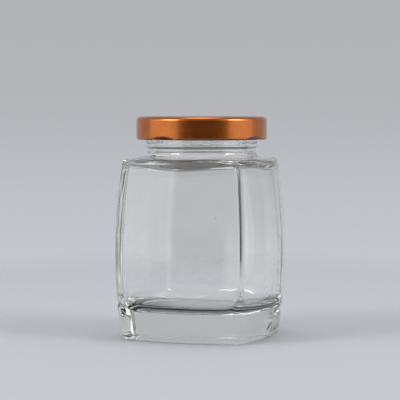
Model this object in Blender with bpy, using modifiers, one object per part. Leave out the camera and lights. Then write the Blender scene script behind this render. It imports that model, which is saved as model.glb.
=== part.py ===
"""A square glass food jar with bowed sides, and its four-lug twist-off metal cap.

The jar stands on Z = 0 with its axis on Z and its four broad faces towards X and Y.
Every glass section is a ring: four bowed sides joined by round corners, or a circle at
the neck. The rings are lofted from the middle of the foot, up the outside, over the lip
and down the inside to the middle of the floor. The cap is a turned shell whose rolled
edge is pressed inwards at four places.
"""

import math
from collections import namedtuple

import bmesh
import bpy

# Jar body, in metres
WIDEST_HALF_WIDTH = 0.0375
WIDEST_HEIGHT = 0.040
BARREL_RADIUS = 0.250
SIDE_RADIUS = 0.080
CORNER_RADIUS = 0.0054
HEEL_RADIUS = 0.003
FOOT_WIDTH = 0.005
FOOT_RECESS = 0.0008
FOOT_SLOPE = 0.0015
SHOULDER_HEIGHT = 0.0836
SHOULDER_RISE = 0.0005
SHOULDER_FILLET = 0.004
SHOULDER_EDGE_TURN = 84
SHOULDER_BLEND = 0.6

# Hollow of the jar
WALL = 0.0040
INNER_SIDE_RADIUS = 0.065
INNER_CORNER_RADIUS = 0.0020
FLOOR_CORNER_RADIUS = 0.0070
CORNER_FLARE_HEIGHT = 0.030
FLOOR_THICKNESS = 0.013
FLOOR_FILLET = 0.006
CEILING_HEIGHT = 0.0796
CEILING_FILLET = 0.0015
CEILING_ROUNDNESS = 0.10
THROAT_FILLET = 0.0025
THROAT_RISE = 0.0005

# Neck and finish
GROOVE_RADIUS = 0.0255
FLARE_RADIUS = 0.0020
BEAD_RADIUS = 0.0265
BEAD_BOTTOM = 0.0887
BEAD_TOP = 0.0926
BEAD_ROUND = 0.0006
FINISH_RADIUS = 0.0261
LIP_HEIGHT = 0.10235
LIP_ROUND = 0.0011
BORE_RADIUS = 0.0230
THREAD_HEIGHT = 0.0018
THREAD_WIDTH = 0.0024
THREAD_TOP = 0.0990
THREAD_DROP = 0.0014
THREAD_SPAN = math.radians(62)
THREAD_LEAD = math.radians(20)
THREAD_END_TAPER = 0.25
THREAD_ZONE_BOTTOM = 0.0938
THREAD_ZONE_TOP = 0.1000

# Cap
CAP_TOP = 0.1032
CAP_BOTTOM = 0.0923
CAP_RADIUS = 0.0307
CAP_SHEET = 0.00045
CAP_ROUND_WIDTH = 0.0027
CAP_ROUND_HEIGHT = 0.0020
PANEL_RADIUS = 0.0232
PANEL_DEPTH = 0.0005
PANEL_STEP = 0.0008
CURL_RADIUS = 0.00095
CURL_WRAP = 235
LUG_COUNT = 4
LUG_FIRST = math.radians(-16.3)
LUG_HALF_SPAN = math.radians(16)
LUG_DENT = 0.0010
LUG_REACH = 0.0015
LUG_HEIGHT = 0.0017

RING_POINTS = 56
CORNER_CROWDING = 0.5
CAP_STEPS = 72

Ring = namedtuple(
    "Ring",
    "height half_width corner_radius squareness threaded side_radius",
    defaults=(1.0, False, SIDE_RADIUS),
)


def clear_scene():
    for obj in list(bpy.data.objects):
        bpy.data.objects.remove(obj, do_unlink=True)


def principled(name, color, metallic, roughness, transmission=0.0, ior=1.45):
    material = bpy.data.materials.new(name)
    material.use_nodes = True
    shader = material.node_tree.nodes["Principled BSDF"]
    shader.inputs["Base Color"].default_value = (*color, 1.0)
    shader.inputs["Metallic"].default_value = metallic
    shader.inputs["Roughness"].default_value = roughness
    shader.inputs["Transmission Weight"].default_value = transmission
    shader.inputs["IOR"].default_value = ior
    return material


def arc(steps, start=0.0, end=90.0):
    """Angles in radians along an arc given in degrees, both ends included."""
    return [math.radians(start + (end - start) * i / steps) for i in range(steps + 1)]


def barrel_half_width(height):
    """Half the width across the middle of two faces: a long arc, widest near the middle."""
    lift = height - WIDEST_HEIGHT
    return WIDEST_HALF_WIDTH - BARREL_RADIUS + math.sqrt(BARREL_RADIUS**2 - lift**2)


def squared_radius(angle, ring):
    """Distance from the axis to a ring of four bowed sides with round corners."""
    turn = (angle + math.pi / 4) % (math.pi / 2) - math.pi / 4
    fold = abs(turn)
    side_depth = ring.side_radius - ring.half_width
    corner_depth = ring.side_radius - ring.corner_radius
    lean = math.acos(side_depth / corner_depth / math.sqrt(2)) - math.pi / 4
    corner = corner_depth * math.sin(lean)
    joint = math.atan2(
        corner + ring.corner_radius * math.sin(lean),
        corner + ring.corner_radius * math.cos(lean),
    )
    if fold < joint:
        across = side_depth * math.sin(fold)
        return math.sqrt(ring.side_radius**2 - across**2) - side_depth * math.cos(fold)
    along = corner * (math.cos(fold) + math.sin(fold))
    across = corner * (math.cos(fold) - math.sin(fold))
    return along + math.sqrt(max(ring.corner_radius**2 - across**2, 0.0))


def thread_rise(angle, height):
    """How far the four short sloping threads stand out of the finish."""
    pitch = 2 * math.pi / LUG_COUNT
    place = (angle - LUG_FIRST - THREAD_LEAD + pitch / 2) % pitch - pitch / 2
    end = 1.0 - abs(place) / (THREAD_SPAN / 2)
    if end <= 0.0:
        return 0.0
    middle = THREAD_TOP - THREAD_WIDTH / 2 - THREAD_DROP * (0.5 - place / THREAD_SPAN)
    side = 1.0 - ((height - middle) / (THREAD_WIDTH / 2)) ** 2
    return THREAD_HEIGHT * max(side, 0.0) * min(end / THREAD_END_TAPER, 1.0)


def ring_points(ring):
    points = []
    for i in range(RING_POINTS):
        even = 2 * math.pi * i / RING_POINTS
        angle = even + CORNER_CROWDING / 4 * math.sin(4 * even)
        radius = ring.half_width
        if ring.squareness:
            squared = squared_radius(angle, ring)
            radius += (squared - ring.half_width) * ring.squareness
        if ring.threaded:
            radius += thread_rise(angle, ring.height)
        points.append((radius * math.cos(angle), radius * math.sin(angle), ring.height))
    return points


def square_ring(height, half_width, corner_radius):
    return Ring(height, half_width, corner_radius)


def round_ring(height, radius, threaded=False):
    return Ring(height, radius, radius, 0.0, threaded)


def hollow_ring(height, half_width, corner_radius, squareness=1.0):
    return Ring(height, half_width, corner_radius, squareness, side_radius=INNER_SIDE_RADIUS)


def inner_corner_radius(height):
    """The hollow's upright corners are tight, and open out a little towards its floor."""
    share = (CORNER_FLARE_HEIGHT - height) / (CORNER_FLARE_HEIGHT - FLOOR_THICKNESS)
    flare = FLOOR_CORNER_RADIUS - INNER_CORNER_RADIUS
    return INNER_CORNER_RADIUS + flare * max(share, 0.0) ** 2


def foot_rings():
    """Recess under the jar, the flat foot round it, and the heel up to the wall."""
    outer = barrel_half_width(HEEL_RADIUS) - HEEL_RADIUS
    inner = outer - FOOT_WIDTH
    edge = CORNER_RADIUS - HEEL_RADIUS
    rings = [
        square_ring(FOOT_RECESS, (inner - FOOT_SLOPE) / 2, CORNER_RADIUS),
        square_ring(FOOT_RECESS, inner - FOOT_SLOPE, CORNER_RADIUS),
        square_ring(0.0, inner, CORNER_RADIUS),
    ]
    for angle in arc(4):
        rings.append(
            square_ring(
                HEEL_RADIUS * (1 - math.cos(angle)),
                outer + HEEL_RADIUS * math.sin(angle),
                edge + HEEL_RADIUS * math.sin(angle),
            )
        )
    return rings


def wall_rings(steps=9):
    """Bowed wall between the heel and the shoulder's fillet."""
    low = HEEL_RADIUS
    high = SHOULDER_HEIGHT - SHOULDER_FILLET
    heights = [low + (high - low) * i / steps for i in range(1, steps + 1)]
    return [square_ring(z, barrel_half_width(z), CORNER_RADIUS) for z in heights]


def shoulder_rings():
    """Round shoulder edge, then the nearly flat shoulder up to the neck's flare."""
    start = barrel_half_width(SHOULDER_HEIGHT - SHOULDER_FILLET)
    rings = []
    for angle in arc(5, 0, SHOULDER_EDGE_TURN)[1:]:
        inset = SHOULDER_FILLET * (1 - math.cos(angle))
        height = SHOULDER_HEIGHT - SHOULDER_FILLET * (1 - math.sin(angle))
        rings.append(square_ring(height, start - inset, CORNER_RADIUS - inset))
    edge = rings[-1]
    flare = GROOVE_RADIUS + FLARE_RADIUS
    top = SHOULDER_HEIGHT + SHOULDER_RISE
    middle = Ring(
        (edge.height + top) / 2,
        (edge.half_width + flare) / 2,
        CORNER_RADIUS,
        SHOULDER_BLEND,
    )
    rings.append(middle)
    for angle in arc(3):
        rings.append(
            round_ring(
                top + FLARE_RADIUS * (1 - math.cos(angle)),
                flare - FLARE_RADIUS * math.sin(angle),
            )
        )
    return rings


def finish_rings():
    """Groove, bead, threaded finish and round lip, from the flare to the bore."""
    rings = [round_ring(BEAD_BOTTOM, GROOVE_RADIUS)]
    for angle in arc(2):
        rings.append(
            round_ring(
                BEAD_BOTTOM + BEAD_ROUND * (1 - math.cos(angle)),
                BEAD_RADIUS - BEAD_ROUND * (1 - math.sin(angle)),
            )
        )
    rings.append(round_ring(BEAD_TOP, BEAD_RADIUS))
    steps = 8
    for i in range(steps + 1):
        height = THREAD_ZONE_BOTTOM + (THREAD_ZONE_TOP - THREAD_ZONE_BOTTOM) * i / steps
        rings.append(round_ring(height, FINISH_RADIUS, threaded=True))
    for angle in arc(3):
        rings.append(
            round_ring(
                LIP_HEIGHT - LIP_ROUND * (1 - math.sin(angle)),
                FINISH_RADIUS - LIP_ROUND * (1 - math.cos(angle)),
            )
        )
    for angle in arc(3, 90, 0):
        rings.append(
            round_ring(
                LIP_HEIGHT - LIP_ROUND * (1 - math.sin(angle)),
                BORE_RADIUS + LIP_ROUND * (1 - math.cos(angle)),
            )
        )
    return rings


def hollow_rings():
    """Bore, throat, ceiling under the shoulder, inner wall, floor fillet and floor."""
    throat_bottom = CEILING_HEIGHT + THROAT_RISE
    rings = []
    for angle in arc(3):
        rings.append(
            round_ring(
                throat_bottom + THROAT_FILLET * (1 - math.sin(angle)),
                BORE_RADIUS + THROAT_FILLET * (1 - math.cos(angle)),
            )
        )
    ceiling_edge = barrel_half_width(CEILING_HEIGHT) - WALL - CEILING_FILLET
    for angle in arc(4):
        height = CEILING_HEIGHT - CEILING_FILLET * (1 - math.cos(angle))
        half_width = ceiling_edge + CEILING_FILLET * math.sin(angle)
        squareness = 1 - CEILING_ROUNDNESS * (1 - math.sin(angle))
        rings.append(hollow_ring(height, half_width, INNER_CORNER_RADIUS, squareness))
    low = FLOOR_THICKNESS + FLOOR_FILLET
    high = CEILING_HEIGHT - CEILING_FILLET
    steps = 6
    for i in range(1, steps + 1):
        height = high + (low - high) * i / steps
        half_width = barrel_half_width(height) - WALL
        rings.append(hollow_ring(height, half_width, inner_corner_radius(height)))
    start = barrel_half_width(low) - WALL
    for angle in arc(4)[1:]:
        inset = FLOOR_FILLET * (1 - math.cos(angle))
        height = low - FLOOR_FILLET * math.sin(angle)
        rings.append(hollow_ring(height, start - inset, inner_corner_radius(height)))
    rings.append(hollow_ring(FLOOR_THICKNESS, start / 2, FLOOR_CORNER_RADIUS / 2))
    return rings


def build_jar(collection):
    rings = foot_rings() + wall_rings() + shoulder_rings() + finish_rings() + hollow_rings()
    mesh = bpy.data.meshes.new("jar")
    shape = bmesh.new()
    loops = [[shape.verts.new(point) for point in ring_points(ring)] for ring in rings]
    for lower, upper in zip(loops, loops[1:]):
        for i in range(RING_POINTS):
            following = (i + 1) % RING_POINTS
            shape.faces.new((lower[i], lower[following], upper[following], upper[i]))
    foot_middle = shape.verts.new((0.0, 0.0, rings[0].height))
    floor_middle = shape.verts.new((0.0, 0.0, rings[-1].height))
    for i in range(RING_POINTS):
        following = (i + 1) % RING_POINTS
        shape.faces.new((foot_middle, loops[0][following], loops[0][i]))
        shape.faces.new((floor_middle, loops[-1][i], loops[-1][following]))
    shape.to_mesh(mesh)
    shape.free()
    mesh.shade_smooth()
    mesh.set_sharp_from_angle(angle=math.radians(40))
    mesh.materials.append(
        principled("clear_glass", (0.96, 0.98, 0.97), 0.0, 0.02, transmission=1.0, ior=1.52)
    )
    jar = bpy.data.objects.new("jar", mesh)
    collection.objects.link(jar)
    return jar


def cap_profile():
    """Half section of the cap, from the middle of its top, down outside and back inside."""
    panel = CAP_TOP - PANEL_DEPTH
    points = [(0.0, panel), (PANEL_RADIUS - PANEL_STEP, panel), (PANEL_RADIUS, CAP_TOP)]
    for angle in arc(4):
        points.append(
            (
                CAP_RADIUS - CAP_ROUND_WIDTH * (1 - math.sin(angle)),
                CAP_TOP - CAP_ROUND_HEIGHT * (1 - math.cos(angle)),
            )
        )
    curl_x = CAP_RADIUS - CURL_RADIUS
    curl_z = CAP_BOTTOM + CURL_RADIUS
    points.append((CAP_RADIUS, CAP_BOTTOM + LUG_HEIGHT))
    for angle in arc(7, 0, -CURL_WRAP):
        points.append(
            (
                curl_x + CURL_RADIUS * math.cos(angle),
                curl_z + CURL_RADIUS * math.sin(angle),
            )
        )
    inner = CAP_RADIUS - CAP_SHEET
    points.append((inner, curl_z + CURL_RADIUS))
    ceiling = CAP_TOP - CAP_SHEET
    for angle in arc(2):
        points.append(
            (
                inner - (CAP_ROUND_WIDTH - CAP_SHEET) * (1 - math.cos(angle)),
                ceiling - (CAP_ROUND_HEIGHT - CAP_SHEET) * (1 - math.sin(angle)),
            )
        )
    points += [
        (PANEL_RADIUS, ceiling),
        (PANEL_RADIUS - PANEL_STEP, panel - CAP_SHEET),
        (0.0, panel - CAP_SHEET),
    ]
    return points


def turned(name, profile, steps):
    """Turns a half section once round Z and returns the closed mesh."""
    line = bpy.data.meshes.new(name + "_profile")
    edges = [(i, i + 1) for i in range(len(profile) - 1)]
    line.from_pydata([(x, 0.0, z) for x, z in profile], edges, [])
    guide = bpy.data.objects.new(name + "_profile", line)
    bpy.context.scene.collection.objects.link(guide)
    screw = guide.modifiers.new("turn", "SCREW")
    screw.axis = "Z"
    screw.steps = steps
    screw.render_steps = steps
    screw.use_merge_vertices = True
    screw.merge_threshold = 0.00001
    bpy.context.view_layer.update()
    graph = bpy.context.evaluated_depsgraph_get()
    mesh = bpy.data.meshes.new_from_object(guide.evaluated_get(graph))
    mesh.name = name
    bpy.data.objects.remove(guide, do_unlink=True)
    bpy.data.meshes.remove(line)
    return mesh


def press_lugs(mesh):
    """Presses the rolled edge inwards at the lugs, which dents the skirt just above it."""
    pitch = 2 * math.pi / LUG_COUNT
    curl_width = 2 * CURL_RADIUS
    for vertex in mesh.vertices:
        rise = vertex.co.z - CAP_BOTTOM
        if rise > 1.01 * curl_width:
            continue
        radius = math.hypot(vertex.co.x, vertex.co.y)
        angle = math.atan2(vertex.co.y, vertex.co.x)
        place = (angle - LUG_FIRST + pitch / 2) % pitch - pitch / 2
        if abs(place) >= LUG_HALF_SPAN:
            continue
        swell = math.cos(math.pi / 2 * place / LUG_HALF_SPAN) ** 2
        outside = LUG_DENT * math.sqrt(max(1 - rise / LUG_HEIGHT, 0.0))
        inside = LUG_REACH * (CAP_RADIUS - radius) / curl_width
        shift = 1 - max(outside, inside) * swell / radius
        vertex.co.x *= shift
        vertex.co.y *= shift


def build_cap(collection):
    mesh = turned("cap", cap_profile(), CAP_STEPS)
    press_lugs(mesh)
    mesh.shade_smooth()
    mesh.set_sharp_from_angle(angle=math.radians(40))
    mesh.materials.append(principled("copper_lacquer", (0.80, 0.36, 0.14), 1.0, 0.25))
    cap = bpy.data.objects.new("cap", mesh)
    collection.objects.link(cap)
    return cap


clear_scene()
collection = bpy.data.collections.new("glass_food_jar")
bpy.context.scene.collection.children.link(collection)
build_jar(collection)
build_cap(collection)
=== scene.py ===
"""A square glass food jar with bowed sides and its copper-lacquered twist-off cap."""
import math
from collections import namedtuple

import bpy
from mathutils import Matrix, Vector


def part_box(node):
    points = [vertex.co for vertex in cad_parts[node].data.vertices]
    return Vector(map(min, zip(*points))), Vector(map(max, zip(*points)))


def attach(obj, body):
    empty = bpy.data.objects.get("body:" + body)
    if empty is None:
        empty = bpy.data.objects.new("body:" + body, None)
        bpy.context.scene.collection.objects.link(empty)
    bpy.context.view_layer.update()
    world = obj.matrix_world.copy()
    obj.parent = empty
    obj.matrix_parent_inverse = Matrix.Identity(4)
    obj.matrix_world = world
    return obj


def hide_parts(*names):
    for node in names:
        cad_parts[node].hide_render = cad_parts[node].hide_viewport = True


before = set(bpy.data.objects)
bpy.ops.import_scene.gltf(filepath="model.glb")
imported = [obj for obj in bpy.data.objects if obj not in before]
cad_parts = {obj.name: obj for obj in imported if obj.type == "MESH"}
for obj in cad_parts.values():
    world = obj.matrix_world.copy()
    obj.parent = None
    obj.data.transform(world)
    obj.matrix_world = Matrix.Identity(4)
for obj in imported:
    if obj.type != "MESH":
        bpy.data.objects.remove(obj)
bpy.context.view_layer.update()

# Jar
# The jar is one piece of soda-lime glass, pressed and blown in a two-part mould and then
# annealed: a square with bowed sides and round corners, a heavy base, a nearly flat
# shoulder and a round finish with four short sloping threads.
LIP_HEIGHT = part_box("jar")[1].z
SIDES = 4
WIDEST = 0.0375
WIDEST_HEIGHT = 0.040
BARREL_RADIUS = 0.250
SIDE_RADIUS = 0.080
CORNER = 0.0054
HEEL = 0.0018
FOOT_WIDTH = 0.0045
FOOT_RECESS = 0.0008
FOOT_SLOPE = 0.0015
SHOULDER_HEIGHT = 0.0836
SHOULDER_RISE = 0.0005
SHOULDER_FILLET = 0.0030
SHOULDER_TURN = 84
NECK_FLARE = 0.0030
GROOVE_RADIUS = 0.0255
GROOVE_TOP = 0.0885
BEAD_RADIUS = 0.0265
BEAD_BOTTOM = 0.0887
BEAD_TOP = 0.0926
BEAD_ROUND = 0.0006
LEDGE_BOTTOM = 0.0897
LEDGE_TOP = 0.0924
LEDGE_EDGE = 0.0004
FINISH_RADIUS = 0.0261
FINISH_BOTTOM = 0.0930
FINISH_TOP = 0.1002
THREAD_BLEND = 0.15
THREAD_RUNOUT = 1 / 8
LIP_ROUND = 0.0011
BORE_RADIUS = 0.0230
WALL = 0.0040
INNER_SIDE_RADIUS = 0.065
INNER_CORNER = 0.0020
FLOOR_CORNER = 0.0100
CORNERS_OPEN_BELOW = 0.030
CORNER_OPENING = 1.3
LUMP_REACH = 0.010
SPECK_IN_CELL = 0.030
SPECK_COLOUR = (0.16, 0.17, 0.17, 1.0)
MOST_HAZE = 0.02
FLOOR_HEIGHT = 0.013
FLOOR_FILLET = 0.0085
CEILING_HEIGHT = 0.0796
CEILING_FILLET = 0.0015
CEILING_SQUARE = 0.9
SAG_DEPTH = 0.012
THROAT_FILLET = 0.0025
THROAT_RISE = 0.0005
SEAM_GAP = 0.000002
LUG_COUNT = 4
FIRST_LUG = math.radians(-16.3)

# A ring is one level of the loft. Its reach is half the width across two faces, corner and
# side are the radii of its corners and its bowed sides, and square goes from 0, a circle, to
# 1, the whole square. The rest is its share of thread, unevenness, sag, ledge and lumps.
Ring = namedtuple(
    "Ring",
    "height reach corner square threaded wobble side sag ledge lump",
    defaults=(1.0, 0.0, 0.0, SIDE_RADIUS, 0.0, 0.0, 0.0),
)
RING_COLUMNS = (*Ring._fields, "centre", "joint")


def arc(steps, start=0.0, end=90.0):
    """Angles in radians along an arc given in degrees, both ends included."""
    return [math.radians(start + (end - start) * i / steps) for i in range(steps + 1)]


def between(low, high, steps):
    """Even steps from low to high, without low itself."""
    return [low + (high - low) * i / steps for i in range(1, steps + 1)]


def eased(share):
    """A share from 0 to 1 that starts and ends gently."""
    return share * share * (3 - 2 * share)


def barrel(height):
    """Half the width across two faces at a height."""
    lift = height - WIDEST_HEIGHT
    return WIDEST - BARREL_RADIUS + math.sqrt(BARREL_RADIUS**2 - lift**2)


def inner_corner(height):
    """The hollow's upright corners are tight, and open out a little towards its floor."""
    share = (CORNERS_OPEN_BELOW - height) / (CORNERS_OPEN_BELOW - FLOOR_HEIGHT)
    return INNER_CORNER + (FLOOR_CORNER - INNER_CORNER) * max(share, 0.0) ** CORNER_OPENING


def round_ring(height, radius, threaded=0.0, ledge=0.0):
    """A level that is a plain circle."""
    return Ring(height, radius, radius, 0.0, threaded, ledge=ledge)


def round_edge(height, radius, size, angles):
    """Circles along a rounding whose centre is at this height and radius."""
    return [round_ring(height + size * math.sin(a), radius + size * math.cos(a)) for a in angles]


def outside_rings():
    """From the middle of the foot, over the heel and the side, to the neck's flare."""
    outer = barrel(HEEL) - HEEL
    inner = outer - FOOT_WIDTH
    rings = [round_ring(FOOT_RECESS, 0.0)]
    for share in (0.15, 0.4, 0.7, 1.0):
        rings.append(Ring(FOOT_RECESS, (inner - FOOT_SLOPE) * share, CORNER * share))
    for share in (0.2, 0.5, 0.8, 0.95, 1.0):
        rings.append(Ring(FOOT_RECESS * (1 - eased(share)), inner - FOOT_SLOPE * (1 - share), CORNER))
    rings.append(Ring(0.0, (inner + outer) / 2, CORNER - HEEL / 2))
    for angle in arc(steps=14):
        out = HEEL * math.sin(angle)
        rings.append(Ring(HEEL * (1 - math.cos(angle)), outer + out, CORNER - HEEL + out))
    for height in between(HEEL, SHOULDER_HEIGHT - SHOULDER_FILLET, steps=40):
        rings.append(Ring(height, barrel(height), CORNER))
    start = barrel(SHOULDER_HEIGHT - SHOULDER_FILLET)
    for angle in arc(16, 0, SHOULDER_TURN)[1:]:
        inset = SHOULDER_FILLET * (1 - math.cos(angle))
        height = SHOULDER_HEIGHT - SHOULDER_FILLET * (1 - math.sin(angle))
        rings.append(Ring(height, start - inset, CORNER - inset))
    edge = rings[-1]
    foot = GROOVE_RADIUS + NECK_FLARE
    top = SHOULDER_HEIGHT + SHOULDER_RISE
    for share in between(0.0, 1.0, steps=10)[:-1]:
        rings.append(
            Ring(
                edge.height + (top - edge.height) * share,
                edge.reach + (foot - edge.reach) * share,
                edge.corner + (CORNER - edge.corner) * min(2 * share, 1.0),
                1 - eased(share),
            )
        )
    return rings + round_edge(top + NECK_FLARE, foot, NECK_FLARE, arc(10, 270, 180))


def finish_rings():
    """Groove, bead, threaded finish and round lip."""
    groove_bottom = SHOULDER_HEIGHT + SHOULDER_RISE + NECK_FLARE
    lip_middle = LIP_HEIGHT - LIP_ROUND
    rings = [round_ring(height, GROOVE_RADIUS) for height in between(groove_bottom, GROOVE_TOP, steps=3)]
    rings += round_edge(
        BEAD_BOTTOM + BEAD_ROUND, BEAD_RADIUS - BEAD_ROUND, BEAD_ROUND, arc(6, -90, 0)[1:]
    )
    for height in between(LEDGE_BOTTOM, LEDGE_TOP, steps=24) + [BEAD_TOP]:
        rings.append(round_ring(height, BEAD_RADIUS, ledge=1.0))
    for height in between(FINISH_BOTTOM, FINISH_TOP, steps=26):
        rings.append(round_ring(height, FINISH_RADIUS, threaded=1.0))
    rings += round_edge(lip_middle, FINISH_RADIUS - LIP_ROUND, LIP_ROUND, arc(8, 0, 90))
    rings += round_edge(lip_middle, BORE_RADIUS + LIP_ROUND, LIP_ROUND, arc(8, 90, 180))
    return rings


def inside_rings():
    """Bore, throat, ceiling under the shoulder, inner wall, floor fillet and floor."""
    bore_end = CEILING_HEIGHT + THROAT_RISE + THROAT_FILLET
    rings = [round_ring(height, BORE_RADIUS) for height in between(FINISH_TOP, bore_end, steps=8)]
    rings += round_edge(bore_end, BORE_RADIUS + THROAT_FILLET, THROAT_FILLET, arc(10, 180, 270)[1:])
    edge = barrel(CEILING_HEIGHT) - WALL - CEILING_FILLET
    for angle in arc(steps=16):
        share = math.sin(angle)
        rings.append(
            Ring(
                CEILING_HEIGHT - CEILING_FILLET * (1 - math.cos(angle)),
                edge + CEILING_FILLET * share,
                INNER_CORNER,
                CEILING_SQUARE + (1 - CEILING_SQUARE) * share,
                wobble=share,
                side=INNER_SIDE_RADIUS,
                sag=1.0,
            )
        )
    high = CEILING_HEIGHT - CEILING_FILLET
    low = FLOOR_HEIGHT + FLOOR_FILLET
    for height in between(high, low, steps=36):
        rings.append(
            Ring(
                height,
                barrel(height) - WALL,
                inner_corner(height),
                wobble=1.0,
                side=INNER_SIDE_RADIUS,
                sag=max(1.0 - (high - height) / SAG_DEPTH, 0.0) ** 2,
                lump=max(1.0 - (height - low) / LUMP_REACH, 0.0),
            )
        )
    start = barrel(low) - WALL
    for angle in arc(steps=16)[1:]:
        height = low - FLOOR_FILLET * math.sin(angle)
        rings.append(
            Ring(
                height,
                start - FLOOR_FILLET * (1 - math.cos(angle)),
                inner_corner(height),
                wobble=1.0,
                side=INNER_SIDE_RADIUS,
                lump=1.0,
            )
        )
    last = rings[-1]
    for share in (0.85, 0.65, 0.4, 0.15):
        rings.append(
            Ring(
                FLOOR_HEIGHT,
                last.reach * share,
                last.corner * share,
                wobble=share,
                side=INNER_SIDE_RADIUS,
            )
        )
    rings.append(round_ring(FLOOR_HEIGHT, 0.0))
    return rings


def corner_arc(ring):
    """Where a ring's corner arc has its centre, and the folded angle where it begins."""
    if not ring.square:
        return 0.0, math.pi
    depth = ring.side - ring.corner
    lean = math.acos((ring.side - ring.reach) / depth / math.sqrt(2)) - math.pi / 4
    centre = depth * math.sin(lean)
    return centre, math.atan2(
        centre + ring.corner * math.sin(lean), centre + ring.corner * math.cos(lean)
    )


def line_mesh(name, points, columns):
    """A line of points that carries one number a point under each column's name."""
    mesh = bpy.data.meshes.new(name)
    mesh.from_pydata(points, [(i, i + 1) for i in range(len(points) - 1)], [])
    for column, values in columns.items():
        mesh.attributes.new(column, "FLOAT", "POINT").data.foreach_set("value", values)
    line = bpy.data.objects.new(name, mesh)
    bpy.context.scene.collection.objects.link(line)
    return line


def feed(tree, socket, term):
    """Links another socket to this one, or sets it to a plain number or colour."""
    if isinstance(term, bpy.types.NodeSocket):
        tree.links.new(term, socket)
    else:
        socket.default_value = term


def math_node(tree, operation, *terms):
    """One Math node. Each term is a socket or a plain number."""
    node = tree.nodes.new("ShaderNodeMath")
    node.operation = operation
    for socket, term in zip(node.inputs, terms):
        feed(tree, socket, term)
    return node.outputs[0]


def held(tree, value):
    """The value, kept from 0 to 1."""
    return math_node(tree, "MAXIMUM", math_node(tree, "MINIMUM", value, 1.0), 0.0)


def spread(tree, value, start, end, first=0.0, last=1.0, kind="LINEAR"):
    """Goes from first to last while the value goes from start to end."""
    node = tree.nodes.new("ShaderNodeMapRange")
    node.interpolation_type = kind
    tree.links.new(value, node.inputs["Value"])
    for label, term in (("From Min", start), ("From Max", end), ("To Min", first), ("To Max", last)):
        feed(tree, node.inputs[label], term)
    return node.outputs["Result"]


def noise_node(tree, place, scale, detail):
    """Smooth random values at a place."""
    noise = tree.nodes.new("ShaderNodeTexNoise")
    tree.links.new(place, noise.inputs["Vector"])
    feed(tree, noise.inputs["Scale"], scale)
    feed(tree, noise.inputs["Detail"], detail)
    return noise.outputs["Fac"]


def mixed(tree, share, first, second):
    """A colour that turns from the first to the second as the share grows."""
    mix = tree.nodes.new("ShaderNodeMix")
    mix.data_type = "RGBA"
    tree.links.new(share, mix.inputs["Factor"])
    feed(tree, mix.inputs["A"], first)
    feed(tree, mix.inputs["B"], second)
    return mix.outputs["Result"]


def new_group(kind, name, inputs, outputs):
    """A node group with these named sockets, what it is given, and where it puts out."""
    tree = bpy.data.node_groups.new(name, kind)
    for label, socket in inputs.items():
        tree.interface.new_socket(label, in_out="INPUT", socket_type="NodeSocket" + socket)
    for label, socket in outputs.items():
        tree.interface.new_socket(label, in_out="OUTPUT", socket_type="NodeSocket" + socket)
    return tree, tree.nodes.new("NodeGroupInput").outputs, tree.nodes.new("NodeGroupOutput").inputs


def wrapped_grid(tree, line, around):
    """A grid with a row for each point of the line and a column for each step round.

    Returns the grid, the row that a point is on, and its even angle round the axis."""
    size = tree.nodes.new("GeometryNodeAttributeDomainSize")
    tree.links.new(line, size.inputs["Geometry"])
    columns = math_node(tree, "ADD", around, 1)
    grid = tree.nodes.new("GeometryNodeMeshGrid")
    tree.links.new(size.outputs["Point Count"], grid.inputs["Vertices X"])
    tree.links.new(columns, grid.inputs["Vertices Y"])
    index = tree.nodes.new("GeometryNodeInputIndex").outputs["Index"]
    row = math_node(tree, "FLOOR", math_node(tree, "DIVIDE", index, columns))
    column = math_node(tree, "SUBTRACT", index, math_node(tree, "MULTIPLY", row, columns))
    column = math_node(tree, "MODULO", column, around)
    even = math_node(tree, "DIVIDE", math_node(tree, "MULTIPLY", column, math.tau), around)
    return grid.outputs["Mesh"], row, even


def named_value(tree, name):
    """The number that a point carries under the name."""
    named = tree.nodes.new("GeometryNodeInputNamedAttribute")
    named.data_type = "FLOAT"
    named.inputs["Name"].default_value = name
    return named.outputs["Attribute"]


def row_value(tree, line, row, name):
    """The number that the line's point for this row carries under the name."""
    sample = tree.nodes.new("GeometryNodeSampleIndex")
    tree.links.new(line, sample.inputs["Geometry"])
    tree.links.new(named_value(tree, name), sample.inputs["Value"])
    tree.links.new(row, sample.inputs["Index"])
    return sample.outputs["Value"]


def placed(tree, mesh, radius, angle, height):
    """The mesh with its points moved to a radius, angle and height, seam and poles merged."""
    spot = tree.nodes.new("ShaderNodeCombineXYZ")
    across = math_node(tree, "MULTIPLY", radius, math_node(tree, "COSINE", angle))
    along = math_node(tree, "MULTIPLY", radius, math_node(tree, "SINE", angle))
    tree.links.new(across, spot.inputs["X"])
    tree.links.new(along, spot.inputs["Y"])
    tree.links.new(height, spot.inputs["Z"])
    move = tree.nodes.new("GeometryNodeSetPosition")
    tree.links.new(mesh, move.inputs["Geometry"])
    tree.links.new(spot.outputs["Vector"], move.inputs["Position"])
    merge = tree.nodes.new("GeometryNodeMergeByDistance")
    merge.inputs["Distance"].default_value = SEAM_GAP
    tree.links.new(move.outputs["Geometry"], merge.inputs["Geometry"])
    return merge.outputs["Geometry"]


def finished(tree, geometry, material):
    """Realized, shaded smooth and in its material."""
    realize = tree.nodes.new("GeometryNodeRealizeInstances")
    tree.links.new(geometry, realize.inputs["Geometry"])
    smooth = tree.nodes.new("GeometryNodeSetShadeSmooth")
    tree.links.new(realize.outputs["Geometry"], smooth.inputs["Geometry"])
    coat = tree.nodes.new("GeometryNodeSetMaterial")
    tree.links.new(smooth.outputs["Geometry"], coat.inputs["Geometry"])
    tree.links.new(material, coat.inputs["Material"])
    return coat.outputs["Geometry"]


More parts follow.
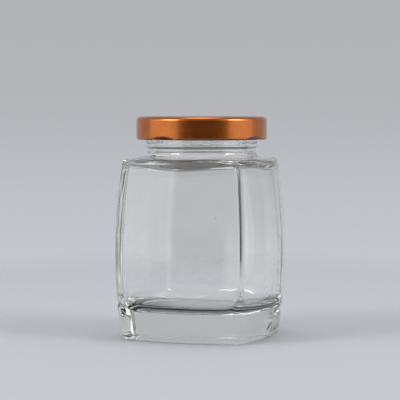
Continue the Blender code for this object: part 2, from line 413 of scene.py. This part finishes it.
def made_by(tree, line, name, values):
    """Runs the tree on the line with these values and returns the plain mesh object."""
    modifier = line.modifiers.new(tree.name, "NODES")
    modifier.node_group = tree
    for item in tree.interface.items_tree:
        if item.in_out == "INPUT" and item.name in values:
            modifier[item.identifier] = values[item.name]
    bpy.context.view_layer.update()
    graph = bpy.context.evaluated_depsgraph_get()
    mesh = bpy.data.meshes.new_from_object(line.evaluated_get(graph))
    mesh.name = name
    piece = bpy.data.objects.new(name, mesh)
    bpy.context.scene.collection.objects.link(piece)
    bpy.data.objects.remove(line, do_unlink=True)
    return piece


def around_noise(tree, angle, scale, detail, height=None, stretch=1.0):
    """Smooth noise about zero that closes on itself round the axis."""
    spot = tree.nodes.new("ShaderNodeCombineXYZ")
    tree.links.new(math_node(tree, "COSINE", angle), spot.inputs["X"])
    tree.links.new(math_node(tree, "SINE", angle), spot.inputs["Y"])
    if height:
        tree.links.new(math_node(tree, "MULTIPLY", height, stretch), spot.inputs["Z"])
    return math_node(tree, "SUBTRACT", noise_node(tree, spot.outputs["Vector"], scale, detail), 0.5)


def from_nearest(tree, angle, first):
    """The angle from the nearest of the lugs or threads that are spaced round the mouth."""
    pitch = math.tau / LUG_COUNT
    return math_node(tree, "WRAP", math_node(tree, "SUBTRACT", angle, first), pitch / 2, -pitch / 2)


def bowed_radius(tree, angle, reach, corner, centre, joint, side):
    """The radius of a square with bowed sides and round corners at an angle."""
    fold = math_node(tree, "WRAP", angle, math.pi / SIDES, -math.pi / SIDES)
    fold = math_node(tree, "ABSOLUTE", fold)
    cosine = math_node(tree, "COSINE", fold)
    sine = math_node(tree, "SINE", fold)

    # Where the ray at this angle meets the side's arc, whose centre lies across the axis.
    depth = math_node(tree, "SUBTRACT", side, reach)
    across = math_node(tree, "POWER", math_node(tree, "MULTIPLY", depth, sine), 2)
    chord = math_node(tree, "SUBTRACT", math_node(tree, "POWER", side, 2), across)
    flat = math_node(tree, "SQRT", chord)
    flat = math_node(tree, "SUBTRACT", flat, math_node(tree, "MULTIPLY", depth, cosine))

    # Where it meets the corner's arc, whose centre lies on the diagonal.
    off = math_node(tree, "MULTIPLY", centre, math_node(tree, "SUBTRACT", cosine, sine))
    chord = math_node(tree, "POWER", corner, 2)
    chord = math_node(tree, "SUBTRACT", chord, math_node(tree, "POWER", off, 2))
    bend = math_node(tree, "SQRT", math_node(tree, "MAXIMUM", chord, 0.0))
    bend = math_node(tree, "MULTIPLY_ADD", centre, math_node(tree, "ADD", cosine, sine), bend)

    on_side = math_node(tree, "LESS_THAN", fold, joint)
    return math_node(tree, "MULTIPLY_ADD", math_node(tree, "SUBTRACT", flat, bend), on_side, bend)


def thread_rise(tree, given, angle, height):
    """How far a point is up one of the sloping threads, from 0 beside it to 1 on its crest."""
    place = from_nearest(tree, angle, given["Thread Middle"])
    share = math_node(tree, "DIVIDE", place, given["Thread Span"])
    slope = math_node(tree, "MULTIPLY", given["Thread Drop"], math_node(tree, "SUBTRACT", share, 0.5))
    half = math_node(tree, "MULTIPLY", given["Thread Width"], 0.5)
    middle = math_node(tree, "ADD", math_node(tree, "SUBTRACT", given["Thread Top"], half), slope)
    rise = math_node(tree, "DIVIDE", math_node(tree, "SUBTRACT", height, middle), half)
    rise = math_node(tree, "SUBTRACT", 1.0, math_node(tree, "POWER", rise, 2))
    rise = math_node(tree, "SMOOTH_MAX", rise, 0.0, THREAD_BLEND)
    ends = math_node(tree, "SUBTRACT", 0.5, math_node(tree, "ABSOLUTE", share))
    ends = held(tree, math_node(tree, "DIVIDE", ends, THREAD_RUNOUT))
    return math_node(tree, "MULTIPLY", rise, ends)


def jar_tree():
    """Lofts bowed squares and circles into the jar, and raises its threads."""
    tree, given, out = new_group(
        "GeometryNodeTree",
        "jar_loft",
        {
            "Geometry": "Geometry",
            "Points Round": "Int",
            "Corner Crowding": "Float",
            "Thread Height": "Float",
            "Thread Width": "Float",
            "Thread Top": "Float",
            "Thread Drop": "Float",
            "Thread Span": "Float",
            "Thread Middle": "Float",
            "Wobble": "Float",
            "Lump": "Float",
            "Ceiling Sag": "Float",
            "Ledge Height": "Float",
            "Ledge Wave": "Float",
            "Ledge Depth": "Float",
            "Material": "Material",
        },
        {"Geometry": "Geometry"},
    )
    line = given["Geometry"]
    mesh, row, even = wrapped_grid(tree, line, given["Points Round"])
    ripple = math_node(tree, "SINE", math_node(tree, "MULTIPLY", even, SIDES))
    crowding = math_node(tree, "MULTIPLY", given["Corner Crowding"], 1 / SIDES)
    angle = math_node(tree, "MULTIPLY_ADD", ripple, crowding, even)
    height, reach, corner, square, threaded, wobble, side, sag, ledge, lump, centre, joint = [
        row_value(tree, line, row, name) for name in RING_COLUMNS
    ]
    squared = bowed_radius(tree, angle, reach, corner, centre, joint, side)
    extra = math_node(tree, "MULTIPLY", math_node(tree, "SUBTRACT", squared, reach), square)
    radius = math_node(tree, "ADD", reach, extra)
    thread = math_node(tree, "MULTIPLY", thread_rise(tree, given, angle, height), threaded)
    radius = math_node(tree, "MULTIPLY_ADD", thread, given["Thread Height"], radius)

    wave = around_noise(tree, angle, scale=5.0, detail=1.5)
    edge = math_node(tree, "MULTIPLY_ADD", wave, given["Ledge Wave"], given["Ledge Height"])
    step = math_node(tree, "DIVIDE", math_node(tree, "SUBTRACT", height, edge), LEDGE_EDGE)
    step = math_node(tree, "MULTIPLY", held(tree, step), ledge)
    radius = math_node(tree, "SUBTRACT", radius, math_node(tree, "MULTIPLY", step, given["Ledge Depth"]))

    uneven = around_noise(tree, angle, scale=1.6, detail=1.0, height=height, stretch=25.0)
    uneven = math_node(tree, "MULTIPLY", uneven, math_node(tree, "MULTIPLY", wobble, given["Wobble"]))
    radius = math_node(tree, "ADD", radius, uneven)
    lumps = around_noise(tree, angle, scale=3.5, detail=1.0, height=height, stretch=70.0)
    lumps = math_node(tree, "MULTIPLY", lumps, math_node(tree, "MULTIPLY", lump, given["Lump"]))
    radius = math_node(tree, "ADD", radius, lumps)

    lobes = math_node(tree, "COSINE", math_node(tree, "MULTIPLY", angle, SIDES))
    dip = math_node(tree, "MULTIPLY", math_node(tree, "MULTIPLY", lobes, sag), given["Ceiling Sag"])
    height = math_node(tree, "SUBTRACT", height, dip)

    body = placed(tree, mesh, radius, angle, height)
    tree.links.new(finished(tree, body, given["Material"]), out["Geometry"])
    return tree


def mottle_group():
    """Soft cloudy patches: a mask, and a colour that turns from one to another with it."""
    tree, given, out = new_group(
        "ShaderNodeTree",
        "mottle",
        {
            "Scale": "Float",
            "Detail": "Float",
            "Low": "Float",
            "High": "Float",
            "First Colour": "Color",
            "Second Colour": "Color",
        },
        {"Colour": "Color", "Mask": "Float"},
    )
    place = tree.nodes.new("ShaderNodeTexCoord").outputs["Object"]
    clouds = noise_node(tree, place, given["Scale"], given["Detail"])
    share = spread(tree, clouds, given["Low"], given["High"])
    colour = mixed(tree, share, given["First Colour"], given["Second Colour"])
    tree.links.new(colour, out["Colour"])
    tree.links.new(clouds, out["Mask"])
    return tree


mottle = mottle_group()


def mottled(tree, values):
    """What the mottle group puts out in a material's tree, with this material's own values."""
    node = tree.nodes.new("ShaderNodeGroup")
    node.node_tree = mottle
    for label, value in values.items():
        node.inputs[label].default_value = value
    return node.outputs


def blank_material(name):
    """A new material, its tree and its main shader."""
    material = bpy.data.materials.new(name)
    material.use_nodes = True
    return material, material.node_tree, material.node_tree.nodes["Principled BSDF"]


def clear_glass():
    """Flint glass: nearly white, a trace of green in its depth, a little uneven."""
    material, tree, shader = blank_material("clear_glass")
    shader.inputs["Transmission Weight"].default_value = 1.0
    shader.inputs["IOR"].default_value = 1.52
    clouds = mottled(
        tree,
        {
            "Scale": 28.0,
            "Detail": 2.0,
            "Low": 0.35,
            "High": 0.65,
            "First Colour": (0.988, 0.990, 0.985, 1.0),
            "Second Colour": (0.999, 1.0, 0.997, 1.0),
        },
    )
    place = tree.nodes.new("ShaderNodeTexCoord").outputs["Object"]
    cells = tree.nodes.new("ShaderNodeTexVoronoi")
    cells.inputs["Scale"].default_value = 75.0
    tree.links.new(place, cells.inputs["Vector"])
    speck = math_node(tree, "LESS_THAN", cells.outputs["Distance"], SPECK_IN_CELL)
    tint = mixed(tree, speck, clouds["Colour"], SPECK_COLOUR)
    haze = spread(tree, clouds["Mask"], 0.0, 1.0, last=MOST_HAZE)
    tree.links.new(tint, shader.inputs["Base Color"])
    tree.links.new(haze, shader.inputs["Roughness"])
    bump = tree.nodes.new("ShaderNodeBump")
    bump.inputs["Strength"].default_value = 0.25
    bump.inputs["Distance"].default_value = 0.0004
    tree.links.new(noise_node(tree, place, scale=70.0, detail=1.0), bump.inputs["Height"])
    tree.links.new(bump.outputs["Normal"], shader.inputs["Normal"])
    depth = tree.nodes.new("ShaderNodeVolumeAbsorption")
    depth.inputs["Color"].default_value = (0.84, 0.85, 0.74, 1.0)
    depth.inputs["Density"].default_value = 2.2
    tree.links.new(depth.outputs["Volume"], tree.nodes["Material Output"].inputs["Volume"])
    return material


# From the inner floor up, over the lip and down the outside, so that the faces look outwards.
rings = (outside_rings() + finish_rings() + inside_rings())[::-1]
corners = [corner_arc(ring) for ring in rings]
columns = {name: [getattr(ring, name) for ring in rings] for name in Ring._fields}
columns["centre"] = [centre for centre, joint in corners]
columns["joint"] = [joint for centre, joint in corners]
jar = made_by(
    jar_tree(),
    line_mesh("jar_section", [(ring.reach, 0.0, ring.height) for ring in rings], columns),
    "glass_jar",
    {
        "Points Round": 352,
        "Corner Crowding": 0.8,
        "Thread Height": 0.0018,
        "Thread Width": 0.0024,
        "Thread Top": 0.0990,
        "Thread Drop": 0.0014,
        "Thread Span": math.radians(62),
        "Thread Middle": FIRST_LUG + math.radians(20),
        "Wobble": 0.0003,
        "Lump": 0.0004,
        "Ceiling Sag": 0.0008,
        "Ledge Height": 0.0908,
        "Ledge Wave": 0.0030,
        "Ledge Depth": 0.0004,
        "Material": clear_glass(),
    },
)
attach(jar, "root")
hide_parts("jar")

# Cap
# The cap is drawn from thin tin-plated steel, lacquered copper outside and buff inside.
# Its skirt ends in an inward roll that is pressed into four lugs, which grip the threads.
CAP_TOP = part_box("cap")[1].z
CAP_BOTTOM = 0.0923
CAP_RADIUS = 0.0307
SHEET = 0.00025
ROUND_WIDTH = 0.0027
ROUND_HEIGHT = 0.0020
PANEL_RADIUS = 0.0232
PANEL_DEPTH = 0.0005
PANEL_STEP = 0.0006
CURL = 0.00095
CURL_TURN = 300
CURL_WIDTH = 2 * CURL
CURL_ABOVE = 1.02 * CURL_WIDTH
CURL_INSIDE = 1.1 * CURL_WIDTH
LUG_SHARPNESS = 0.6
LUG_EDGE = 0.0001
LUG_RUNOUT = 1 / 3
SMALLEST_LUG = 0.00001
# The lugs and the roll's lower edge get painted shade: a darker copper that stands in for the shade and
# dark reflections that fall there.
ROLL_SHADE_BELOW = 0.0008
ROLL_SHADE_FADE = 0.0005
SHADE_STRENGTH = 0.9
SHADE_COPPER = (0.12, 0.026, 0.006, 1.0)


def cap_line():
    """The outer face of the sheet as (radius, height) from the middle out."""
    panel = CAP_TOP - PANEL_DEPTH
    points = [(share * PANEL_RADIUS, panel) for share in (0.0, 0.3, 0.7, 0.93)]
    for share in [0.0] + between(0.0, 1.0, steps=8):
        points.append((PANEL_RADIUS + PANEL_STEP * (2 * share - 1), panel + PANEL_DEPTH * eased(share)))
    for angle in arc(steps=20):
        points.append(
            (
                CAP_RADIUS - ROUND_WIDTH * (1 - math.sin(angle)),
                CAP_TOP - ROUND_HEIGHT * (1 - math.cos(angle)),
            )
        )
    centre_x = CAP_RADIUS - CURL
    centre_z = CAP_BOTTOM + CURL
    for height in between(CAP_TOP - ROUND_HEIGHT, centre_z, steps=26)[:-1]:
        points.append((CAP_RADIUS, height))
    for angle in arc(24, 0, -CURL_TURN):
        points.append((centre_x + CURL * math.cos(angle), centre_z + CURL * math.sin(angle)))
    return points


def other_face(points, thickness):
    """The line's other face, a sheet's thickness inside it, from its end back to its start."""
    inner = []
    for i, (x, z) in enumerate(points):
        x0, z0 = points[max(i - 1, 0)]
        x1, z1 = points[min(i + 1, len(points) - 1)]
        length = math.hypot(x1 - x0, z1 - z0)
        inner.append((max(x + thickness * (z1 - z0) / length, 0.0), z - thickness * (x1 - x0) / length))
    return inner[::-1]


def curl_share(x, z):
    """How far into the roll a point of the sheet is: 0 on the skirt, 1 on the roll's inside."""
    if z < CAP_BOTTOM + CURL_ABOVE and x > CAP_RADIUS - CURL_INSIDE:
        return min((CAP_RADIUS - x) / CURL_WIDTH, 1.0)
    return 0.0


def stored(tree, geometry, name, value):
    """The geometry with a number kept on each point under the name."""
    store = tree.nodes.new("GeometryNodeStoreNamedAttribute")
    store.data_type = "FLOAT"
    store.domain = "POINT"
    store.inputs["Name"].default_value = name
    tree.links.new(geometry, store.inputs["Geometry"])
    tree.links.new(value, store.inputs["Value"])
    return store.outputs["Geometry"]


def cap_tree():
    """Turns the sheet's section round and presses the roll inwards at each lug."""
    tree, given, out = new_group(
        "GeometryNodeTree",
        "cap_press",
        {
            "Geometry": "Geometry",
            "Points Round": "Int",
            "First Lug": "Float",
            "Lug Half Span": "Float",
            "Lug Dent": "Float",
            "Lug Reach": "Float",
            "Lug Height": "Float",
            "Lacquer": "Material",
            "Inside": "Material",
        },
        {"Geometry": "Geometry"},
    )
    line = given["Geometry"]
    mesh, row, angle = wrapped_grid(tree, line, given["Points Round"])
    height, radius, within, inner = [
        row_value(tree, line, row, name) for name in ("height", "radius", "within", "inner")
    ]
    place = math_node(tree, "DIVIDE", from_nearest(tree, angle, given["First Lug"]), given["Lug Half Span"])
    bow = math_node(tree, "SUBTRACT", 1.0, math_node(tree, "POWER", place, 2))
    bow = math_node(tree, "MAXIMUM", bow, 0.0)
    rise = math_node(tree, "SUBTRACT", height, CAP_BOTTOM)
    top = math_node(tree, "MULTIPLY", given["Lug Height"], bow)
    top = math_node(tree, "MAXIMUM", top, SMALLEST_LUG)
    share = math_node(tree, "DIVIDE", math_node(tree, "ADD", rise, LUG_EDGE), top)
    share = math_node(tree, "MAXIMUM", math_node(tree, "SUBTRACT", 1.0, share), 0.0)
    dent = math_node(tree, "MULTIPLY", math_node(tree, "POWER", share, LUG_SHARPNESS), given["Lug Dent"])
    ends = math_node(tree, "MINIMUM", math_node(tree, "DIVIDE", bow, LUG_RUNOUT), 1.0)
    dent = math_node(tree, "MULTIPLY", dent, ends)
    reach = math_node(tree, "MULTIPLY", math_node(tree, "MULTIPLY", bow, within), given["Lug Reach"])
    radius = math_node(tree, "SUBTRACT", radius, math_node(tree, "MAXIMUM", dent, reach))

    # Painted shade: a mask over the lugs and the roll's lower edge, where the lacquer is painted darker.
    lug_shade = math_node(tree, "MULTIPLY", math_node(tree, "GREATER_THAN", share, 0.0), bow)
    roll_shade = math_node(tree, "DIVIDE", math_node(tree, "SUBTRACT", ROLL_SHADE_BELOW, rise), ROLL_SHADE_FADE)
    painted_shade = math_node(tree, "MAXIMUM", lug_shade, held(tree, roll_shade))
    mesh = stored(tree, stored(tree, mesh, "painted_shade", painted_shade), "inner", inner)
    coated = finished(tree, placed(tree, mesh, radius, angle, height), given["Lacquer"])
    lined = tree.nodes.new("GeometryNodeSetMaterial")
    tree.links.new(coated, lined.inputs["Geometry"])
    on_inside = math_node(tree, "GREATER_THAN", named_value(tree, "inner"), 0.5)
    tree.links.new(on_inside, lined.inputs["Selection"])
    tree.links.new(given["Inside"], lined.inputs["Material"])
    tree.links.new(lined.outputs["Geometry"], out["Geometry"])
    return tree


def copper_lacquer():
    """Transparent copper lacquer over bright tinplate, faintly mottled, with painted shade on the lugs and
    on the roll's lower edge.
    """
    material, tree, shader = blank_material("copper_lacquer")
    shader.inputs["Metallic"].default_value = 1.0
    shader.inputs["Coat Weight"].default_value = 0.4
    shader.inputs["Coat Roughness"].default_value = 0.08
    patches = mottled(
        tree,
        {
            "Scale": 260.0,
            "Detail": 4.0,
            "Low": 0.3,
            "High": 0.7,
            "First Colour": (0.50, 0.142, 0.028, 1.0),
            "Second Colour": (0.60, 0.178, 0.038, 1.0),
        },
    )
    painted_shade = tree.nodes.new("ShaderNodeAttribute")
    painted_shade.attribute_name = "painted_shade"
    # Painted shade: the copper turns darker on the lugs and on the roll's lower edge.
    shade_share = math_node(tree, "MULTIPLY", painted_shade.outputs["Fac"], SHADE_STRENGTH)
    copper = mixed(tree, shade_share, patches["Colour"], SHADE_COPPER)
    satin = spread(tree, patches["Mask"], 0.0, 1.0, first=0.27, last=0.33)
    tree.links.new(copper, shader.inputs["Base Color"])
    tree.links.new(satin, shader.inputs["Roughness"])
    return material


def buff_lacquer():
    """The cap's pale inner lacquer."""
    material, tree, shader = blank_material("buff_lacquer")
    shader.inputs["Roughness"].default_value = 0.35
    patches = mottled(
        tree,
        {
            "Scale": 180.0,
            "Detail": 2.0,
            "Low": 0.0,
            "High": 1.0,
            "First Colour": (0.70, 0.64, 0.52, 1.0),
            "Second Colour": (0.80, 0.75, 0.64, 1.0),
        },
    )
    tree.links.new(patches["Colour"], shader.inputs["Base Color"])
    return material


outer_face = cap_line()
inner_face = other_face(outer_face, SHEET)
sheet = outer_face + inner_face
columns = {
    "radius": [x for x, z in sheet],
    "height": [z for x, z in sheet],
    "within": [curl_share(x, z) for x, z in sheet],
    "inner": [0.0] * len(outer_face) + [1.0] * len(inner_face),
}
cap = made_by(
    cap_tree(),
    line_mesh("cap_section", [(x, 0.0, z) for x, z in sheet], columns),
    "lug_cap",
    {
        "Points Round": 360,
        "First Lug": FIRST_LUG,
        "Lug Half Span": math.radians(16),
        "Lug Dent": 0.0010,
        "Lug Reach": 0.0015,
        "Lug Height": 0.0017,
        "Lacquer": copper_lacquer(),
        "Inside": buff_lacquer(),
    },
)
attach(cap, "root")
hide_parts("cap")

# Floor
# A plain pale surface under the jar, which fades into the backdrop. Little light gets down
# through the thick base, so the surface there has a painted glow, emission that stands in for light.
FLOOR_RADIUS = 0.55
FADE_START = 0.20
FADE_END = 0.50
GLOW_START = 0.008
GLOW_END = 0.028
GLOW = 0.22


def pale_floor():
    """Matt pale grey, clear at its rim, with a faint painted glow in its middle."""
    material, tree, shader = blank_material("pale_floor")
    shader.inputs["Base Color"].default_value = (0.59, 0.603, 0.625, 1.0)
    shader.inputs["Roughness"].default_value = 0.9
    shader.inputs["Specular IOR Level"].default_value = 0.1
    shader.inputs["Emission Color"].default_value = (0.94, 0.97, 1.0, 1.0)
    length = tree.nodes.new("ShaderNodeVectorMath")
    length.operation = "LENGTH"
    tree.links.new(tree.nodes.new("ShaderNodeTexCoord").outputs["Object"], length.inputs[0])
    away = length.outputs["Value"]
    opaque = spread(tree, away, FADE_START, FADE_END, 1.0, 0.0, "SMOOTHSTEP")
    # Painted light: emission that brightens the floor under the jar's base.
    glow = spread(tree, away, GLOW_START, GLOW_END, GLOW, 0.0, "SMOOTHSTEP")
    tree.links.new(opaque, shader.inputs["Alpha"])
    tree.links.new(glow, shader.inputs["Emission Strength"])
    return material


bpy.ops.mesh.primitive_circle_add(vertices=64, radius=FLOOR_RADIUS, fill_type="NGON")
floor = bpy.context.object
floor.name = "floor"
floor.data.materials.append(pale_floor())

# Light
# Two tall soft boxes, one overhead and two high strips light the jar, and two small lamps
# show only as glints. The backdrop is pale, and dark towards the camera only for light that
# the glass and the cap mirror or that turns inside the glass.
CAMERA_TURN = math.radians(19.9)
BACKDROP = (
    (0.0, (0.50, 0.515, 0.54, 1.0)),
    (0.158, (0.552, 0.575, 0.604, 1.0)),
    (0.5, (0.455, 0.468, 0.492, 1.0)),
    (0.75, (0.437, 0.446, 0.468, 1.0)),
)
BACKDROP_SPREAD = 0.12
GLASS_GLOOM = (0.055, 0.058, 0.055, 1.0)
MIRRORED_GLOOM = (0.078, 0.050, 0.029, 1.0)
GLOOM_ABOVE = 0.35
FEW_SURFACES = 3.5
# Cosines of the angle from the camera's side, and how steeply a direction rises.
WIDE_FRONT = (-0.54, -0.46)
NARROW_FRONT = (-0.32, -0.06)
GLOOM_FADE = (0.14, 0.30)


def soft_box(name, turn, distance, height, size, strength, tilt=0.0):
    """A rectangular light, turn degrees round from the camera and tilted down at the jar."""
    light = bpy.data.lights.new(name, "AREA")
    light.shape = "RECTANGLE"
    light.size, light.size_y = size
    light.energy = strength * light.size * light.size_y * math.pi
    lamp = bpy.data.objects.new(name, light)
    bpy.context.scene.collection.objects.link(lamp)
    azimuth = CAMERA_TURN + math.radians(turn)
    lamp.location = (distance * math.sin(azimuth), -distance * math.cos(azimuth), height)
    lamp.rotation_euler = (math.pi / 2 - math.radians(tilt), 0.0, azimuth)
    lamp.visible_camera = False
    return lamp


def studio_world():
    """The backdrop, pale for every ray but three kinds that leave towards the camera's side.

    Those turned inside the glass, those that crossed few surfaces, and those mirrored."""
    world = bpy.data.worlds.new("studio")
    world.use_nodes = True
    tree = world.node_tree
    toward = tree.nodes.new("ShaderNodeTexCoord").outputs["Generated"]
    axes = tree.nodes.new("ShaderNodeSeparateXYZ")
    tree.links.new(toward, axes.inputs["Vector"])
    up = axes.outputs["Z"]
    backdrop = tree.nodes.new("ShaderNodeValToRGB")
    stops = backdrop.color_ramp.elements
    stops[1].position = BACKDROP[-1][0]
    for position, colour in BACKDROP[1:-1]:
        stops.new(position)
    for stop, (position, colour) in zip(stops, BACKDROP):
        stop.color = colour
    tree.links.new(spread(tree, up, -BACKDROP_SPREAD, BACKDROP_SPREAD), backdrop.inputs["Fac"])

    facing = tree.nodes.new("ShaderNodeVectorMath")
    facing.operation = "DOT_PRODUCT"
    facing.inputs[1].default_value = (math.sin(CAMERA_TURN), -math.cos(CAMERA_TURN), 0.0)
    tree.links.new(toward, facing.inputs[0])
    front = facing.outputs["Value"]
    wide_front = spread(tree, front, *WIDE_FRONT, kind="SMOOTHSTEP")
    narrow_front = spread(tree, front, *NARROW_FRONT, kind="SMOOTHSTEP")
    low = spread(tree, up, *GLOOM_FADE, 1.0, GLOOM_ABOVE, "SMOOTHSTEP")

    ray = tree.nodes.new("ShaderNodeLightPath").outputs
    passed = ray["Is Transmission Ray"]
    turned = math_node(tree, "GREATER_THAN", ray["Glossy Depth"], 0.5)
    turned = math_node(tree, "MULTIPLY", math_node(tree, "MULTIPLY", turned, passed), wide_front)
    thin = math_node(tree, "LESS_THAN", ray["Transmission Depth"], FEW_SURFACES)
    thin = math_node(tree, "MULTIPLY", math_node(tree, "MULTIPLY", thin, passed), narrow_front)
    mirrored = math_node(tree, "MULTIPLY", ray["Is Glossy Ray"], ray["Is Reflection Ray"])
    glint = math_node(tree, "MULTIPLY", mirrored, narrow_front)
    seen = math_node(tree, "MAXIMUM", math_node(tree, "MAXIMUM", turned, thin), glint)
    gloom = mixed(tree, mirrored, GLASS_GLOOM, MIRRORED_GLOOM)
    colour = mixed(tree, math_node(tree, "MULTIPLY", low, seen), backdrop.outputs["Color"], gloom)
    tree.links.new(colour, tree.nodes["Background"].inputs["Color"])
    return world


soft_box("left_box", -71.5, 1.2, 0.35, (1.36, 1.3), strength=0.95)
soft_box("right_box", 73.75, 1.2, 0.35, (1.16, 1.3), strength=0.95)
soft_box("top_box", 180.0, 0.15, 1.3, (0.6, 0.45), strength=3.5, tilt=90.0)
for name, turn in (("left_strip", -62.0), ("right_strip", 66.0)):
    soft_box(name, turn, 1.1, 0.92, (0.46, 0.30), strength=9.0, tilt=37.0)
for name, turn in (("left_glint", -62.0), ("right_glint", 68.0)):
    lamp = soft_box(name, turn, 1.05, 0.60, (0.44, 0.19), strength=9.5, tilt=26.0)
    lamp.visible_transmission = False
    lamp.visible_diffuse = False
bpy.context.scene.world = studio_world()

# Light that is guided inside the thick glass turns many times before it leaves.
bpy.context.scene.cycles.max_bounces = 32
bpy.context.scene.cycles.glossy_bounces = 24
bpy.context.scene.cycles.transmission_bounces = 24

# Camera
# It stands where the photograph was taken from, a little above the jar's lid.
CAMERA_DISTANCE = 0.790
CAMERA_HEIGHT = 0.1049
CAMERA_PITCH = math.radians(2.98)
CAMERA_PAN = math.radians(0.055)
SENSOR_WIDTH = 36.0
FOCAL_PIXELS = 1675
FRAME_PIXELS = 400

camera_data = bpy.data.cameras.new("camera")
camera_data.sensor_width = SENSOR_WIDTH
camera_data.lens = SENSOR_WIDTH * FOCAL_PIXELS / FRAME_PIXELS
camera = bpy.data.objects.new("camera", camera_data)
bpy.context.scene.collection.objects.link(camera)
camera.location = (
    CAMERA_DISTANCE * math.sin(CAMERA_TURN),
    -CAMERA_DISTANCE * math.cos(CAMERA_TURN),
    CAMERA_HEIGHT,
)
camera.rotation_euler = (math.pi / 2 - CAMERA_PITCH, 0.0, CAMERA_TURN + CAMERA_PAN)
bpy.context.scene.camera = camera
bpy.context.scene.view_settings.view_transform = "Standard"
